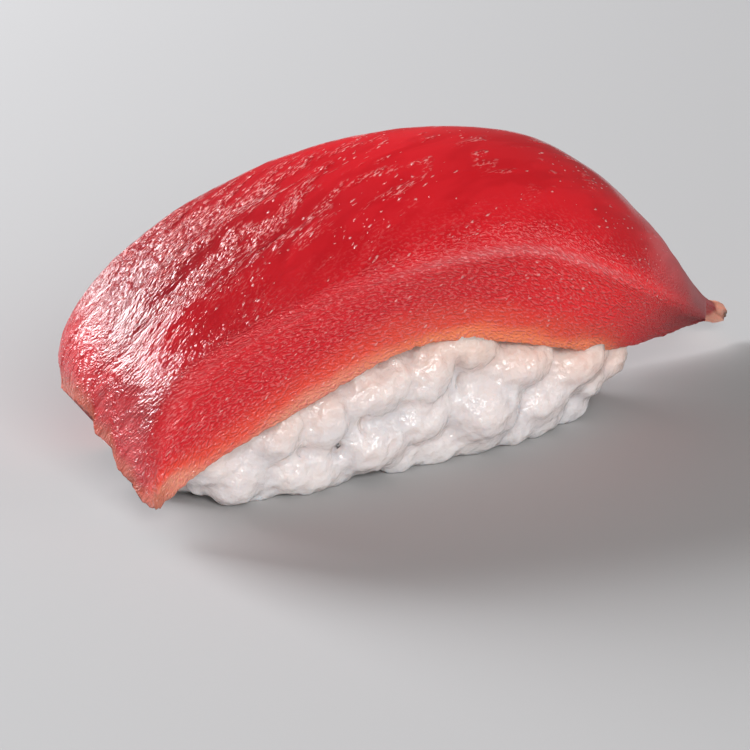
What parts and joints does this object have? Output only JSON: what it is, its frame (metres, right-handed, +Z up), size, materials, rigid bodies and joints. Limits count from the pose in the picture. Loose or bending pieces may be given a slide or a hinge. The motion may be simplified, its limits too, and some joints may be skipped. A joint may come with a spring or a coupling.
{
  "type": "tuna nigiri",
  "caption": "Tuna nigiri: a thick slice of raw red tuna bent over a pressed pad of cooked white rice, standing on the rice.",
  "frame": {"origin": "centre of the nigiri's box, at the height of the surface that it stands on", "axes": "+X along the nigiri towards the thin end of the slice, -Y the side that shows most rice, +Z up"},
  "size_m": [0.0712, 0.025, 0.0273],
  "materials": {
    "cooked_rice": "moist, sticky, translucent cooked grains",
    "raw_tuna": "moist cut raw fish, deep red, paler at the lower edge"
  },
  "bodies": {
    "root": {"rice": "cooked_rice", "tuna": "raw_tuna"}
  },
  "joints": []
}
